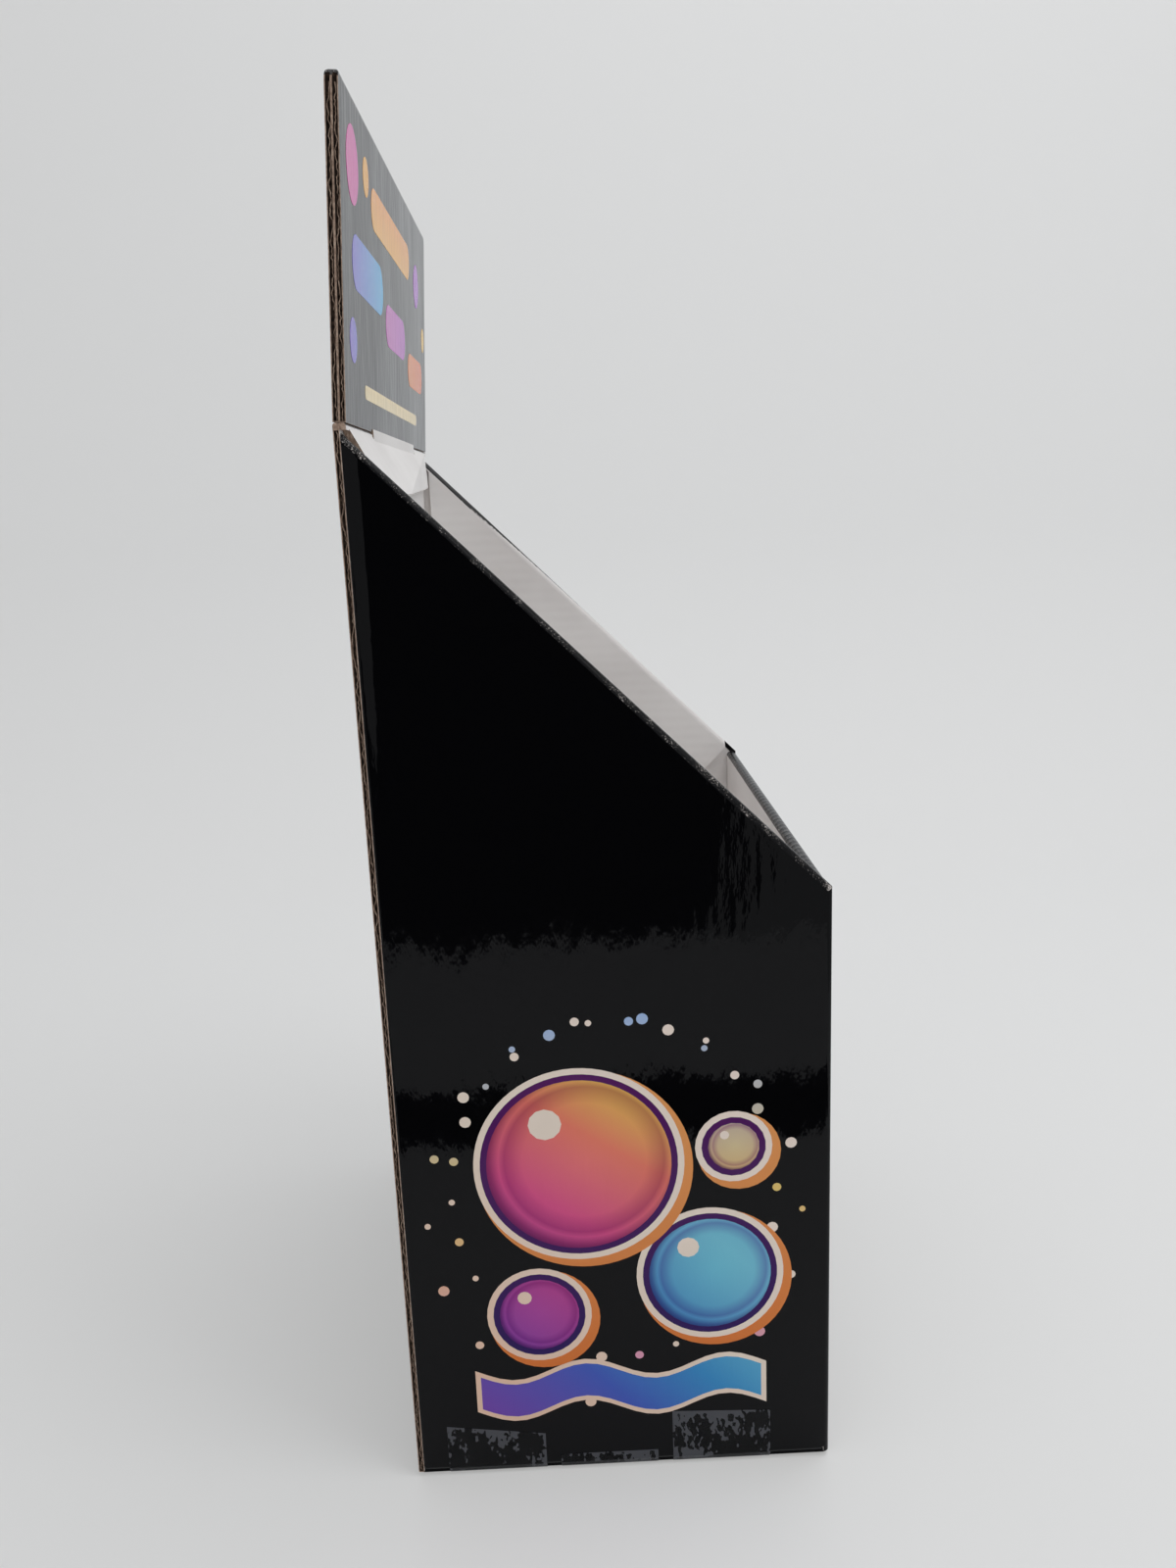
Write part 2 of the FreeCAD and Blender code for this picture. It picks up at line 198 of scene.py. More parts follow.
# The same print over a slanting fold: cracked through to the white paper in short specks,
# with a chip at the front corner, and more specks where the fold frays near its top
CHIP = (NEAR_X, BODY_LOW.y, 0.2935)
CHIP_REACH = 0.0042
FRAY_LOW = 0.478
FRAY_HIGH = 0.492
CRACK_SCALE = 1500.0
CRACK_DEPTH = 0.00015
CRACK_STOPS = [(0.0, "0a0a0c"), (0.57, "141416"), (0.61, "6a6663"), (0.67, "d0c8c3")]
cracked_print, tree, shader = gloss_print("cracked_fold_print", "08080a", 0.22, 0.16)
fine = noise(tree, CRACK_SCALE, (1, 1, 1), 3.0, 0.7)
patchy = noise(tree, CRACK_SCALE / 10, (1, 1, 1), 2.0, 0.5)
specks = maths(tree, "ADD", maths(tree, "MULTIPLY", fine, 0.7), maths(tree, "MULTIPLY", patchy, 0.3))
x, y, z = coordinates(tree)[:3]
spot = node(tree, "CombineXYZ", None, {0: x, 1: y, 2: z}).outputs[0]
reach = node(tree, "VectorMath", {"operation": "DISTANCE"}, {0: spot, 1: CHIP}).outputs[1]
torn = node(tree, "MapRange", None, {0: reach, 1: 0.0, 2: CHIP_REACH, 3: 0.3, 4: 0.0}).outputs[0]
frayed = node(tree, "MapRange", None, {0: z, 1: FRAY_LOW, 2: FRAY_HIGH, 3: 0.0, 4: 0.05}).outputs[0]
worn = maths(tree, "ADD", maths(tree, "ADD", specks, torn), frayed)
tree.links.new(ramp(tree, worn, CRACK_STOPS), shader.inputs["Base Color"])
tree.links.new(bump(tree, specks, CRACK_DEPTH), shader.inputs["Normal"])

# The front fold is level, so it crosses the flutes: the print is creased over each of them
CREASE_SCALE = 700.0
CREASE_DEPTH = 0.00012
CREASE_STOPS = [(0.0, "0a0a0c"), (0.75, "17171a"), (1.0, "4a4846")]
creased_print, tree, shader = gloss_print("creased_fold_print", "0c0c0e", 0.24, 0.3)
x, y, z = coordinates(tree)[:3]
flutes = maths(tree, "MULTIPLY", flute_wave(tree, x), 0.5)
creases = maths(tree, "ADD", flutes, noise(tree, CREASE_SCALE, (1, 0.2, 1)))
tree.links.new(ramp(tree, creases, CREASE_STOPS), shader.inputs["Base Color"])
tree.links.new(bump(tree, creases, CREASE_DEPTH), shader.inputs["Normal"])

# The far fold is black on its outer side near its back end, narrowing forward to nothing along a ragged
# line, and white paper elsewhere
BLACK_LINE_BACK = 0.1455
BLACK_LINE_TAPER = 0.034
BLACK_LINE_RAGGED = 0.0012
black_end_fold, tree, shader = gloss_print("far_fold_black_end_gloss", "08080a", 0.3)
x, y, z = coordinates(tree)[:3]
forward_reach = maths(tree, "SUBTRACT", FOLD_Y, y)
limit = maths(tree, "ADD", maths(tree, "MULTIPLY", forward_reach, BLACK_LINE_TAPER), BLACK_LINE_BACK)
ragged = maths(tree, "MULTIPLY", noise(tree, 500.0), BLACK_LINE_RAGGED)
beyond = maths(tree, "ADD", maths(tree, "SUBTRACT", x, limit), ragged)
share = node(tree, "MapRange", None, {0: beyond, 1: 0.0005, 2: 0.0008}).outputs[0]
tree.links.new(ramp(tree, share, [(0.0, "dcd8d6"), (1.0, "0a0a0c")]), shader.inputs["Base Color"])

# White clay-coated liner: matt, faintly ribbed by the flutes, a little grey and soiled
SOIL_SCALE = 14.0
RIB_DEPTH = 0.00003
BUCKLE_SCALE = 30.0
BUCKLE_DEPTH = 0.0002
white_liner, tree, shader = new_material("white_liner_paper")
x, y, z = coordinates(tree)[:3]
soil = noise(tree, SOIL_SCALE, (1, 1, 1), 4.0)
tree.links.new(ramp(tree, soil, [(0.25, "dcd8d6"), (0.6, "eae7e5")]), shader.inputs["Base Color"])
ribs = bump(tree, flute_wave(tree, z), RIB_DEPTH)
buckles = bump(tree, noise(tree, BUCKLE_SCALE, (1, 1, 1), 2.0), BUCKLE_DEPTH, ribs)
tree.links.new(buckles, shader.inputs["Normal"])
shader.inputs["Roughness"].default_value = 0.55

# Raw cut edge of the board: brown fibres, dark between the two liners
FIBRE_SCALE = 700.0
FIBRE_DEPTH = 0.0004
FIBRE_STOPS = [(0.3, "68564a"), (0.5, "a58b79"), (0.72, "d6bfaa")]
raw_edge, tree, shader = new_material("cut_board_edge")
fibres = noise(tree, FIBRE_SCALE, (1, 1, 0.5), 5.0, 0.7)
tree.links.new(ramp(tree, fibres, FIBRE_STOPS), shader.inputs["Base Color"])
tree.links.new(bump(tree, fibres, FIBRE_DEPTH), shader.inputs["Normal"])
shader.inputs["Roughness"].default_value = 0.9

# The flutes between the liners lie in shade: the same brown paper, darker and blotched
SHADE_SCALE = 260.0
SHADE_STOPS = [(0.36, "2e241d"), (0.55, "5c4a3f"), (0.7, "86705f")]
dark_core, tree, shader = new_material("shaded_flute_core")
fibres = noise(tree, SHADE_SCALE, (1, 1, 1.6), 4.0, 0.65)
tree.links.new(ramp(tree, fibres, SHADE_STOPS), shader.inputs["Base Color"])
shader.inputs["Roughness"].default_value = 0.95


def only(thing):
    """Select one object and make it active."""
    bpy.ops.object.select_all(action="DESELECT")
    thing.select_set(True)
    bpy.context.view_layer.objects.active = thing


def copy_of(name, new_name):
    """Copy of a CAD node with its triangles joined into clean flat faces."""
    only(frame["nodes"][name])
    bpy.ops.object.duplicate()
    thing = bpy.context.view_layer.objects.active
    thing.name = new_name
    thing.data.name = new_name
    thing.data.materials.clear()
    bpy.ops.object.mode_set(mode="EDIT")
    bpy.ops.mesh.select_all(action="SELECT")
    bpy.ops.mesh.remove_doubles(threshold=0.000002)
    bpy.ops.mesh.dissolve_limited(angle_limit=math.radians(0.4))
    bpy.ops.object.mode_set(mode="OBJECT")
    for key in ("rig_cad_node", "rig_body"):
        if key in thing:
            del thing[key]
    thing.parent = None
    return thing


def strip_width(face, mesh):
    """Width of a long face: its area over its longest reach."""
    corners = [mesh.vertices[index].co for index in face.vertices]
    reach = max((a - b).length for a in corners for b in corners)
    return face.area / reach


def lean_forward(mesh, tilt):
    """Turn a mesh about the line that the header stands on."""
    pivot = Vector((0, FOLD_Y, BODY_HIGH.z))
    turn = Matrix.Rotation(tilt, 4, "X")
    mesh.transform(Matrix.Translation(pivot) @ turn @ Matrix.Translation(-pivot))


def box_cutter(low, high, tilt=0.0):
    """Box used to cut a slot along a raw edge, leaning with the header where tilt is given."""
    bpy.ops.object.select_all(action="DESELECT")
    bpy.ops.mesh.primitive_cube_add(size=1, location=(0, 0, 0))
    cutter = bpy.context.object
    size = [b - a for a, b in zip(low, high)]
    middle = [(a + b) / 2 for a, b in zip(low, high)]
    cutter.data.transform(Matrix.Translation(middle) @ Matrix.Diagonal(size + [1.0]))
    if tilt:
        lean_forward(cutter.data, tilt)
    cutter.data.materials.append(dark_core)
    return cutter


def smooth_folds(thing):
    """Smooth the rounds of the folds, while each wide face keeps its own flat shading."""
    only(thing)
    bpy.ops.object.shade_smooth_by_angle(angle=math.radians(32))
    weighted = thing.modifiers.new("flat_panels", "WEIGHTED_NORMAL")
    weighted.keep_sharp = True
    weighted.weight = 100
    bpy.ops.object.modifier_apply(modifier=weighted.name)


def cut_slots(thing, cutters):
    """Cut every slot out of a piece, and give the slot walls the core's material."""
    for cutter in cutters:
        only(thing)
        modifier = thing.modifiers.new("slot", "BOOLEAN")
        modifier.operation = "DIFFERENCE"
        modifier.solver = "EXACT"
        modifier.object = cutter
        modifier.material_mode = "TRANSFER"
        bpy.ops.object.modifier_apply(modifier=modifier.name)
        bpy.data.objects.remove(cutter)


# Which face is which: by its place, by the way it faces and by its width
PRINT, CRACKED, WHITE, RAW, FAR_BLACK_END, CREASED = range(6)
SKIN = 0.00015
CORNER = BOARD + SKIN
ROLL_DEPTH = 0.0065
RIM_LOW = 0.28
OUTWARD = 0.2
UPWARD = 0.15
ROUND_WIDTH = 0.002
EDGE_WIDTHS = (0.0022, 0.0033)

folded_body = copy_of("body_blank", "folded_body")
for material in (black_print, cracked_print, white_liner, raw_edge, black_end_fold, creased_print):
    folded_body.data.materials.append(material)
for face in folded_body.data.polygons:
    centre, normal = face.center, face.normal
    width = strip_width(face, folded_body.data)
    outward = normal.x * centre.x > OUTWARD * abs(centre.x) and abs(centre.x) > FAR_X - CORNER
    outward = outward or (normal.y > OUTWARD and centre.y > BODY_HIGH.y - CORNER)
    outward = outward or (normal.y < -OUTWARD and centre.y < BODY_LOW.y + CORNER)
    under = normal.z < -OUTWARD and centre.z < 2 * BOARD + 0.001
    raised = centre.z > RIM_LOW and normal.z > UPWARD and width < ROUND_WIDTH
    top_fold = centre.z > FOLD_Z + 0.0005 and normal.z > 0.5
    slanting = centre.y > BODY_LOW.y + CORNER and centre.y < FOLD_Y
    roll_end = abs(normal.x) > 0.9 and not outward and abs(centre.x) > FAR_X - ROLL_DEPTH / 2 - SKIN
    level_fold = abs(centre.x) < FAR_X - ROLL_DEPTH and centre.y < 0 and abs(normal.x) < 0.01
    # The far slanting fold takes the material that is black only near its back end
    if raised and centre.x > FAR_X - ROLL_DEPTH and slanting:
        face.material_index = FAR_BLACK_END
    elif raised and level_fold:
        face.material_index = CREASED
    elif raised or top_fold:
        face.material_index = CRACKED
    elif outward or under or (roll_end and centre.z > RIM_LOW and centre.y < 0):
        face.material_index = PRINT
    else:
        face.material_index = WHITE
    if EDGE_WIDTHS[0] < width < EDGE_WIDTHS[1] and not raised and not top_fold:
        square = max(abs(normal.x), abs(normal.y), abs(normal.z)) > 0.999
        panel_edge = abs(normal.x) > 0.9 and centre.y > FOLD_Y and centre.x < 0
        if (square and not outward and not under) or panel_edge:
            face.material_index = RAW

SLOT_DEPTH = 0.0026
SLOT_FOOT = 0.0032
SLOT_TOP = FOLD_Z - 0.0002
cut_slots(folded_body, [box_cutter(
    (NEAR_X - BOARD, FOLD_Y + LINER, SLOT_FOOT),
    (NEAR_X + SLOT_DEPTH, BODY_HIGH.y - LINER, SLOT_TOP),
)])
smooth_folds(folded_body)
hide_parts("body_blank")
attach(folded_body, "root")


# The fluted core in the raw edges. A middle sheet of brown paper, torn and crushed where the blank
# was cut along its flutes, standing back a little between the two liners.

CORE_STEP = 0.0011
CORE_WIDTH = 0.0019
CORE_INSET = 0.0003
CORE_RAGGED = 0.0007
CORE_PAPER = 0.00035
HALF_GAP = (BOARD - 2 * LINER) / 2 * 0.86

random.seed(11)


def crushed_core(name, x, low, high, y, tilt=0.0, outward=-1):
    """Ragged strip along an upright raw edge, from low to high, about the line (x, y)."""
    bpy.ops.object.select_all(action="DESELECT")
    steps = int((high - low) / CORE_STEP)
    bpy.ops.mesh.primitive_grid_add(x_subdivisions=3, y_subdivisions=steps, size=1)
    strip = bpy.context.object
    strip.name = name
    lean = 0.0
    for vertex in sorted(strip.data.vertices, key=lambda v: (round(v.co.y, 5), v.co.x)):
        share = vertex.co.y + 0.5
        if vertex.co.x < -0.45:
            lean = 0.7 * lean + random.uniform(-0.6, 0.6) * HALF_GAP
            lean = max(-HALF_GAP, min(HALF_GAP, lean))
        depth = (vertex.co.x + 0.5) * CORE_WIDTH
        ragged = random.uniform(0, CORE_RAGGED) if vertex.co.x < -0.45 else 0
        inward = outward * (CORE_INSET + ragged + depth)
        vertex.co = Vector((x - inward, y + lean, low + share * (high - low)))
    if tilt:
        lean_forward(strip.data, tilt)
    only(strip)
    solid = strip.modifiers.new("paper", "SOLIDIFY")
    solid.thickness = CORE_PAPER
    solid.offset = 0
    bpy.ops.object.modifier_apply(modifier=solid.name)
    strip.data.materials.clear()
    strip.data.materials.append(raw_edge)
    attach(strip, "root")


CORE_MARGIN = 0.0004
crushed_core("back_edge_core", NEAR_X, SLOT_FOOT + CORE_MARGIN, SLOT_TOP - CORE_MARGIN, FOLD_Y + BOARD / 2)


# The header. One card of the same board folded double over its top and glued, printed on its front
# and back; it leans a little forward, and both its ends are raw.

HEADER_LOW, HEADER_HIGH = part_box("header_card")
HEADER_LEAN = math.radians(3.4)
HEADER_FOOT = BODY_HIGH.z + 0.0003
HEADER_SLOT_MARGIN = 0.0004
HEADER_CORE_LOW = 0.0006
HEADER_CORE_SHORT = 0.0030
HEADER_TOP = HEADER_FOOT + (HEADER_HIGH.z - HEADER_FOOT) / math.cos(HEADER_LEAN) - BOARD

header = copy_of("header_card", "folded_header")
for material in (black_print, cracked_print, white_liner, raw_edge):
    header.data.materials.append(material)
for face in header.data.polygons:
    width = strip_width(face, header.data)
    face.material_index = PRINT
    if abs(face.normal.x) > 0.9 or face.normal.z < -0.9:
        face.material_index = RAW
    elif face.center.z > HEADER_TOP and width < ROUND_WIDTH:
        face.material_index = CRACKED
    elif face.center.z < BODY_HIGH.z:
        face.material_index = WHITE
slots = []
for side, end_x in ((-1, HEADER_LOW.x), (1, HEADER_HIGH.x)):
    for layer in (-1, 1):
        y_low = min(FOLD_Y, FOLD_Y + layer * BOARD) + LINER
        x_ends = sorted([end_x + side * BOARD, end_x - side * SLOT_DEPTH])
        slots.append(box_cutter(
            (x_ends[0], y_low, HEADER_FOOT + HEADER_SLOT_MARGIN),
            (x_ends[1], y_low + BOARD - 2 * LINER, HEADER_TOP + HEADER_SLOT_MARGIN), HEADER_LEAN,
        ))
        crushed_core(
            "header_core_" + ("near" if side < 0 else "far") + ("_front" if layer < 0 else "_back"),
            end_x, HEADER_FOOT + HEADER_CORE_LOW, HEADER_TOP - HEADER_CORE_SHORT,
            FOLD_Y + layer * BOARD / 2, HEADER_LEAN, side,
        )
cut_slots(header, slots)
smooth_folds(header)
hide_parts("header_card")
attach(header, "root")


# The raised floor. One sheet of the same board, unprinted, folded like an upside down tray and set
# on the bottom flaps: its matt white paper shows the soft light of the room.

floor_node = frame["nodes"]["raised_floor"]
floor_node.data.materials.clear()
floor_node.data.materials.append(white_liner)


# The tape: clear film 48 mm wide, smoothed on by hand. It shines like the print under it, and
# is a mottled grey where it has not stuck down.

TAPE_TOPS = {
    "tape_rear": (0.0280, 0.0215),
    "tape_middle": (0.0090, 0.0090),
    "tape_front": (0.0305, 0.0285),
}
PATCH_SCALE = 75.0
BLISTER_SCALE = 480.0
PATCH_SHARE = 0.55
BLISTER_SHARE = 0.45
COLUMN_SHARE = 0.02
RIM_LOOSE = 0.1
FOOT_LOOSE = 0.12
FRONT_LOOSE = 0.045
BLISTER_START = 0.54
BLISTER_HEIGHT = 0.00004


def packing_film(name, rear_top, front_top):
    """Clear film that sticks down dark, and stays grey along its edges and in loose blisters."""
    low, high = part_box(name)
    material, tree, shader = new_material("clear_film_" + name)
    x, y, z = coordinates(tree)[:3]
    to_front = maths(tree, "SUBTRACT", y, low.y)
    to_rear = maths(tree, "SUBTRACT", high.y, y)
    rise = (rear_top - front_top) / (high.y - low.y)
    top_line = maths(tree, "ADD", maths(tree, "MULTIPLY", to_front, rise), front_top)
    to_top = maths(tree, "SUBTRACT", top_line, z)
    edge = maths(tree, "MINIMUM", maths(tree, "MINIMUM", to_front, to_rear), to_top)
    rim = node(tree, "MapRange", None, {0: edge, 1: 0.0002, 2: 0.0024, 3: RIM_LOOSE, 4: 0.0}).outputs[0]
    foot = node(tree, "MapRange", None, {0: z, 1: 0.0007, 2: 0.0015, 3: FOOT_LOOSE, 4: 0.0}).outputs[0]
    limits = {0: to_front, 1: 0.006, 2: 0.011, 3: FRONT_LOOSE, 4: 0.0}
    front = node(tree, "MapRange", None, limits).outputs[0]
    columns = maths(tree, "MULTIPLY", flute_wave(tree, y), COLUMN_SHARE)
    loose = maths(tree, "MULTIPLY", noise(tree, PATCH_SCALE, (1, 1, 0.6), 1.5, 0.4), PATCH_SHARE)
    small = maths(tree, "MULTIPLY", noise(tree, BLISTER_SCALE, (1, 1, 0.6), 1.0, 0.6), BLISTER_SHARE)
    for part in (small, rim, foot, columns, front):
        loose = maths(tree, "ADD", loose, part)
    limits = {0: loose, 1: BLISTER_START, 2: BLISTER_START + 0.01}
    blister = node(tree, "MapRange", None, limits).outputs[0]
    tree.links.new(ramp(tree, blister, [(0.0, "0c0c0e"), (1.0, "515257")]), shader.inputs["Base Color"])
    cover = node(tree, "MapRange", None, {0: blister, 3: 0.72, 4: 0.96}).outputs[0]
    tree.links.new(cover, shader.inputs["Alpha"])
    tree.links.new(bump(tree, blister, BLISTER_HEIGHT), shader.inputs["Normal"])
    shader.inputs["Roughness"].default_value = 0.16
    shader.inputs["Specular IOR Level"].default_value = 0.25
    return material


for name, tops in TAPE_TOPS.items():
    strip = frame["nodes"][name]
    strip.data.materials.clear()
    strip.data.materials.append(packing_film(name, *tops))


# The printed fields. Glossy offset inks laid on the black, each running through its own range of
# colour, with rings of shade in the bubbles that make them look round.

BUBBLES = {
    "side_print_pink": [((0.016, 0.166), 0.043), ((0.038, 0.088), 0.019)],
    "side_print_blue": [((-0.044, 0.106), 0.029)],
    "side_print_gold": [((-0.056, 0.172), 0.012)],
}
BUBBLE_RINGS = [
    (0.0, "ffffff"), (0.62, "f8f2f8"), (0.8, "cfb0d8"), (0.86, "f0e4f4"), (0.95, "ac8fbc"), (1.0, "8a6ca4"),
]
RING_SHIFT = 0.06
RING_REACH = 1.08
RING_LIMIT = 1.15


def bubble_shade(tree, colour, bubbles):
    """Darken a field in rings towards the rim of each bubble that is printed in it."""
    x, y, z = coordinates(tree)[:3]
    place = node(tree, "CombineXYZ", None, {1: y, 2: z}).outputs[0]
    for (middle_y, middle_z), radius in bubbles:
        shifted = (0, middle_y - radius * RING_SHIFT, middle_z + radius * RING_SHIFT)
        reach = node(tree, "VectorMath", {"operation": "DISTANCE"}, {0: place, 1: shifted}).outputs[1]
        share = maths(tree, "DIVIDE", reach, radius * RING_REACH)
        rings = ramp(tree, share, BUBBLE_RINGS)
        inside = maths(tree, "LESS_THAN", reach, radius * RING_LIMIT)
        mixed = node(tree, "Mix", {"data_type": "RGBA", "blend_type": "MULTIPLY"},
                     {"Factor": inside, 6: colour, 7: rings})
        colour = mixed.outputs[2]
    return colour


def ink(name, direction, start, end, stops):
    """Gloss ink that runs through a range of colours along a direction, from start to end."""
    material, tree, shader = gloss_print("gloss_ink_" + name, "ffffff", 0.16, 0.2)
    x, y, z = coordinates(tree)[:3]
    total = maths(tree, "MULTIPLY", x, direction[0])
    total = maths(tree, "ADD", total, maths(tree, "MULTIPLY", y, direction[1]))
    total = maths(tree, "ADD", total, maths(tree, "MULTIPLY", z, direction[2]))
    share = node(tree, "MapRange", None, {0: total, 1: start, 2: end, 3: 0.0, 4: 1.0}).outputs[0]
    colour = bubble_shade(tree, ramp(tree, share, stops), BUBBLES.get(name, []))
    tree.links.new(colour, shader.inputs["Base Color"])
    return material


PINK_STOPS = [(0.0, "8a4bb5"), (0.3, "c24f9f"), (0.55, "ea5f94"), (0.8, "f88a72"), (1.0, "fbd765")]
inks = {
    "side_print_pink": ((0, -0.55, 0.83), 0.02, 0.175, PINK_STOPS),
    "side_print_blue": ((0, -0.7, 0.7), -0.02, 0.12,
                        [(0.0, "7a4fb5"), (0.35, "4a63c4"), (0.6, "3f93cf"), (1.0, "7fd3e6")]),
    "side_print_violet": ((0, 0, 1), 0.06, 0.21, [(0.0, "2c1a5e"), (1.0, "5a1f63")]),
    "side_print_cream": ((0, -0.7, 0.7), 0.0, 0.18, [(0.0, "f3cdb4"), (0.5, "f6e6d6"), (1.0, "fbeadd")]),
    "side_print_orange": ((0, 0, 1), 0.06, 0.21, [(0.0, "e27c3c"), (1.0, "f0a765")]),
    "side_print_gold": ((0, 0, 1), 0.06, 0.24, [(0.0, "e9a3c0"), (0.5, "f0cf7a"), (1.0, "a9c4ec")]),
    "header_print_blue": ((1, 0, 0), -0.14, -0.04, [(0.0, "8a6fd0"), (1.0, "58b4e4")]),
    "header_print_pink": ((1, 0, 0), -0.13, 0.12, [(0.0, "d95fa8"), (1.0, "b06ad6")]),
    "header_print_orange": ((1, 0, 0), -0.09, 0.13, [(0.0, "f2b24f"), (1.0, "ec7a44")]),
    "header_print_cream": ((0, 0, 1), 0.51, 0.61, [(0.0, "f2dfb2"), (0.6, "f6c65a"), (1.0, "f4a24e")]),
}
for name, (direction, start, end, stops) in inks.items():
    field = frame["nodes"][name]
    field.data.materials.clear()
    field.data.materials.append(ink(name, direction, start, end, stops))


# Floor and backdrop: one white sheet that sweeps up behind the stand, with soft light from above.
# It ends in front of the near side, so the upper part of the black side mirrors the dark room.

SWEEP_NEAR = -0.876
SWEEP_FAR = 1.15
SWEEP_SIDE = 1.9
SWEEP_HIGH = 2.4
SWEEP_ROUND = 0.42
SWEEP_TURNS = 16
PALE_SHARE = 0.4

bpy.ops.object.select_all(action="DESELECT")
bpy.ops.mesh.primitive_plane_add(size=1, location=(0, 0, 0))
sweep = bpy.context.object
sweep.name = "backdrop_sweep"
for vertex in sweep.data.vertices:
    vertex.co = Vector((SWEEP_NEAR if vertex.co.x < 0 else SWEEP_FAR - SWEEP_ROUND,
                        math.copysign(SWEEP_SIDE, vertex.co.y), 0))
bpy.ops.object.mode_set(mode="EDIT")
bpy.ops.mesh.select_mode(type="EDGE")
bpy.ops.mesh.select_all(action="DESELECT")
bpy.ops.object.mode_set(mode="OBJECT")
for edge in sweep.data.edges:
    edge.select = all(sweep.data.vertices[i].co.x > 0 for i in edge.vertices)
bpy.ops.object.mode_set(mode="EDIT")
for turn in range(SWEEP_TURNS):
    angle = (turn + 0.5) * math.pi / 2 / SWEEP_TURNS
    length = SWEEP_ROUND * math.pi / 2 / SWEEP_TURNS
    step = (length * math.cos(angle), 0, length * math.sin(angle))
    bpy.ops.mesh.extrude_region_move(TRANSFORM_OT_translate={"value": step})
bpy.ops.mesh.extrude_region_move(TRANSFORM_OT_translate={"value": (0, 0, SWEEP_HIGH - SWEEP_ROUND)})
bpy.ops.object.mode_set(mode="OBJECT")
bpy.ops.object.shade_smooth()
paper, tree, shader = new_material("matt_backdrop_paper")
shader.inputs["Base Color"].default_value = linear("ecedee")
shader.inputs["Roughness"].default_value = 0.8
shader.inputs["Specular IOR Level"].default_value = 0.1
glow = node(tree, "Emission", None, {"Color": linear("e2e1df"), "Strength": 1.0}).outputs[0]
seen = maths(tree, "MULTIPLY", node(tree, "LightPath").outputs["Is Camera Ray"], PALE_SHARE)
blend = node(tree, "MixShader", None, {0: seen, 1: shader.outputs[0], 2: glow}).outputs[0]
tree.links.new(blend, tree.nodes["Material Output"].inputs["Surface"])
sweep.data.materials.append(paper)

# A dark card for the room behind the camera and a dark bar on the floor, both seen only in gloss
card_paint, tree, shader = new_material("matt_black_card")
shader.inputs["Base Color"].default_value = linear("000000")
shader.inputs["Specular IOR Level"].default_value = 0.0


def dark_card(name, corners, rounded=0.0):
    """Flat black card between four corners, its first corner rounded off where that is given."""
    bpy.ops.object.select_all(action="DESELECT")
    bpy.ops.mesh.primitive_plane_add(size=1, location=(0, 0, 0))
    card = bpy.context.object
    card.name = name
    order = sorted(card.data.vertices, key=lambda v: (v.co.x > 0, v.co.y > 0))
    first = order[0].index
    for vertex, corner in zip(order, corners):
        vertex.co = Vector(corner)
    if rounded:
        bpy.ops.object.mode_set(mode="EDIT")
        bpy.ops.mesh.select_mode(type="VERT")
        bpy.ops.mesh.select_all(action="DESELECT")
        bpy.ops.object.mode_set(mode="OBJECT")
        card.data.vertices[first].select = True
        bpy.ops.object.mode_set(mode="EDIT")
        bpy.ops.mesh.bevel(offset=rounded, segments=8, affect="VERTICES")
        bpy.ops.object.mode_set(mode="OBJECT")
    card.data.materials.append(card_paint)
    card.visible_camera = False
    card.visible_diffuse = False
    card.visible_shadow = False
    card.visible_transmission = False


CARD_X = -0.885
CARD_FRONT = -0.177
CARD_BACK = 0.36
CARD_HIGH = 1.8
CARD_ROUND = 0.075
BAR_NEAR = -0.560
BAR_FAR = -0.466
BAR_END = 0.5
BAR_RISE = 0.001
dark_card("dark_room_card", [
    (CARD_X, CARD_FRONT, 0), (CARD_X, CARD_FRONT, CARD_HIGH), (CARD_X, CARD_BACK, 0),
    (CARD_X, CARD_BACK, CARD_HIGH),
], CARD_ROUND)
dark_card("dark_floor_bar", [
    (BAR_NEAR, -BAR_END, BAR_RISE), (BAR_NEAR, BAR_END, BAR_RISE),
    (BAR_FAR, -BAR_END, BAR_RISE), (BAR_FAR, BAR_END, BAR_RISE),
])

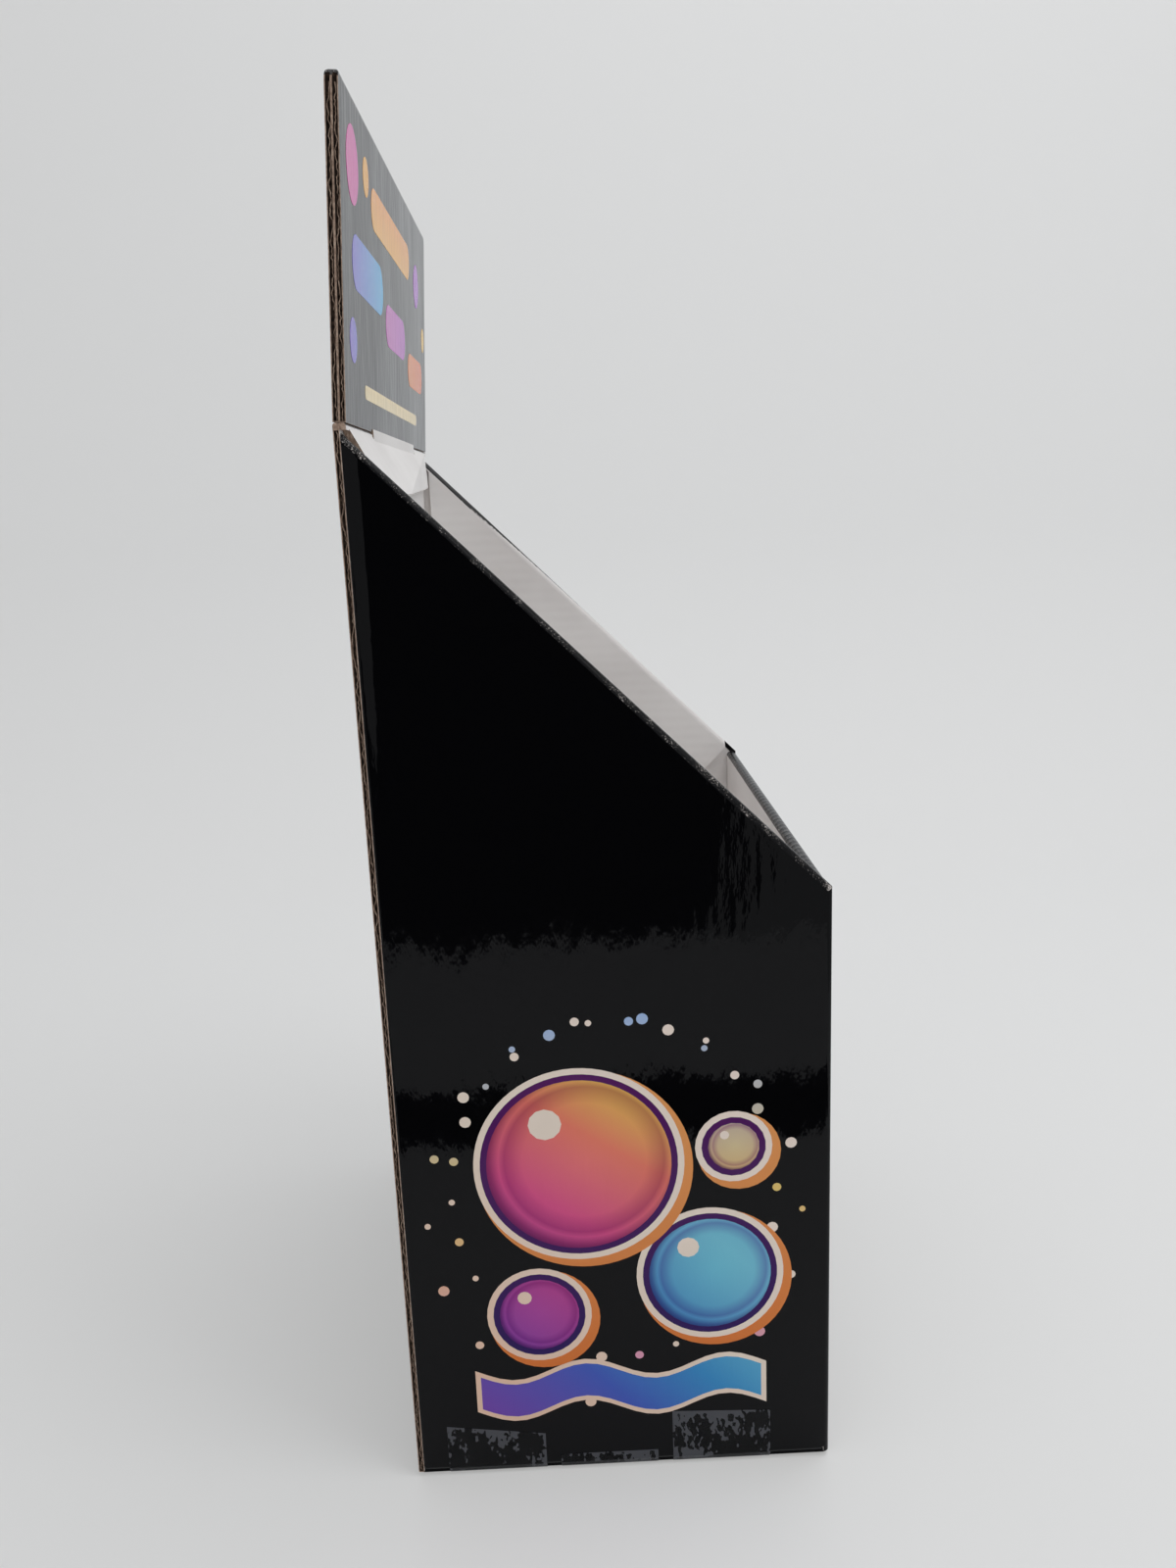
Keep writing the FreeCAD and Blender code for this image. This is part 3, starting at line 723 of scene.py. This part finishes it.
# A soft grey room lights the stand, and looks pale where the camera sees past the sheet
world = bpy.data.worlds.new("soft_studio")
bpy.context.scene.world = world
world.use_nodes = True
tree = world.node_tree
tree.nodes["Background"].inputs["Color"].default_value = linear("f2f4f6")
tree.nodes["Background"].inputs["Strength"].default_value = 0.5
pale = node(tree, "Background", None, {"Color": linear("d6d6d5"), "Strength": 1.0}).outputs[0]
seen = node(tree, "LightPath").outputs["Is Camera Ray"]
grey = tree.nodes["Background"].outputs[0]
blend = node(tree, "MixShader", None, {0: seen, 1: grey, 2: pale}).outputs[0]
tree.links.new(blend, tree.nodes["World Output"].inputs["Surface"])

for name, place, target, size, power in (
    ("top_light", (-0.1, -0.5, 2.2), (0, 0, 0.2), 1.6, 16.0),
    ("front_light", (-0.9, -1.7, 1.5), (0, 0, 0.3), 1.2, 7.0),
):
    bpy.ops.object.light_add(type="AREA", location=place)
    lamp = bpy.context.object
    lamp.name = name
    lamp.data.size = size
    lamp.data.energy = power
    lamp.rotation_euler = (Vector(target) - Vector(place)).to_track_quat("-Z", "Y").to_euler()


# The camera. It stands beside the printed side, a little below the top of the body, and looks
# slightly down, turned and rolled by a degree or two as a hand held it.

CAMERA_PLACE = Vector((-0.6610, 0.0129, 0.4661))
CAMERA_YAW = math.radians(0.908)
CAMERA_PITCH = math.radians(13.149)
CAMERA_ROLL = math.radians(-2.266)
FOCAL_PIXELS = 1239.6
IMAGE_HEIGHT = 1600
SENSOR = 36.0

forward = Vector((math.cos(CAMERA_YAW) * math.cos(CAMERA_PITCH),
                  -math.sin(CAMERA_YAW) * math.cos(CAMERA_PITCH), -math.sin(CAMERA_PITCH)))
level = Vector((-math.sin(CAMERA_YAW), -math.cos(CAMERA_YAW), 0))
upright = level.cross(forward)
right = math.cos(CAMERA_ROLL) * level + math.sin(CAMERA_ROLL) * upright
up = -math.sin(CAMERA_ROLL) * level + math.cos(CAMERA_ROLL) * upright
bpy.ops.object.camera_add(location=CAMERA_PLACE)
camera = bpy.context.object
camera.data.sensor_width = SENSOR
camera.data.lens = FOCAL_PIXELS / IMAGE_HEIGHT * SENSOR
camera.data.clip_start = 0.01
camera.matrix_world = Matrix.Translation(CAMERA_PLACE) @ Matrix((right, up, -forward)).transposed().to_4x4()
bpy.context.scene.camera = camera
bpy.context.scene.view_settings.view_transform = "Standard"
